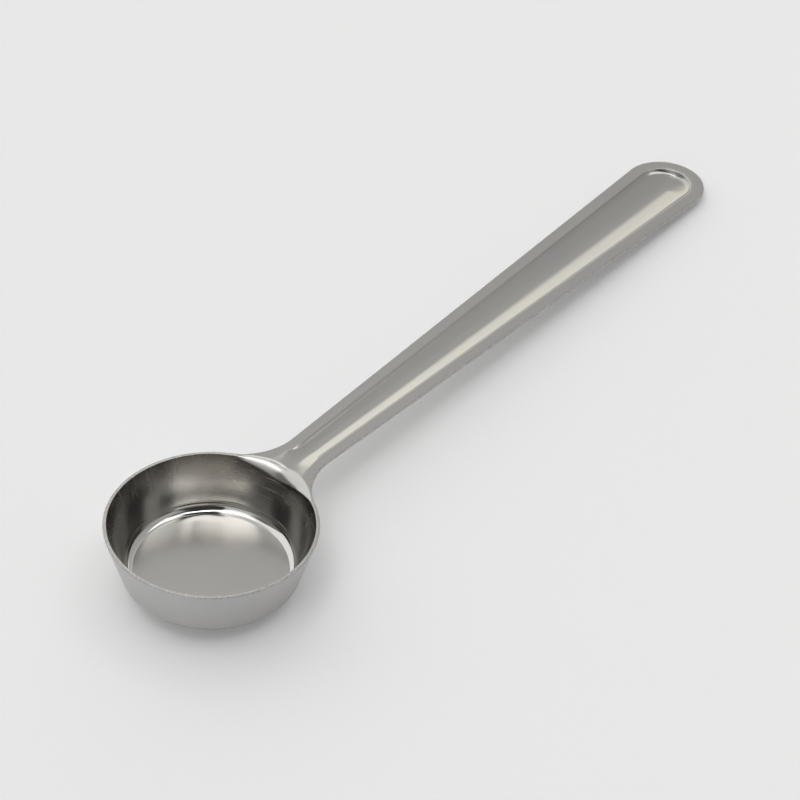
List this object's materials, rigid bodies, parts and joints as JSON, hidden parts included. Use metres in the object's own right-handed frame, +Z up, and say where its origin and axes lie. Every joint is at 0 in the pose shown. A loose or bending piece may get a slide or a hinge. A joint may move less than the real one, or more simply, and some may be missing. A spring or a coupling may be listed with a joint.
{
  "type": "espresso scoop",
  "caption": "Pressed stainless steel scoop with a shallow tapered round bowl and a long channelled handle, for measuring ground coffee.",
  "frame": {"origin": "middle of the bowl's flat base, on the face it rests on", "axes": "+Z up along the bowl's axis, +X from the bowl along the handle to its tip, +Y to the left of the handle"},
  "size_m": [0.1985, 0.045, 0.0164],
  "materials": {
    "bowl_steel": "drawn stainless, polished inside with fine scuffs, satin outside",
    "handle_steel": "satin stainless"
  },
  "bodies": {
    "root": {"bowl": "bowl_steel", "handle": "handle_steel"}
  },
  "joints": []
}
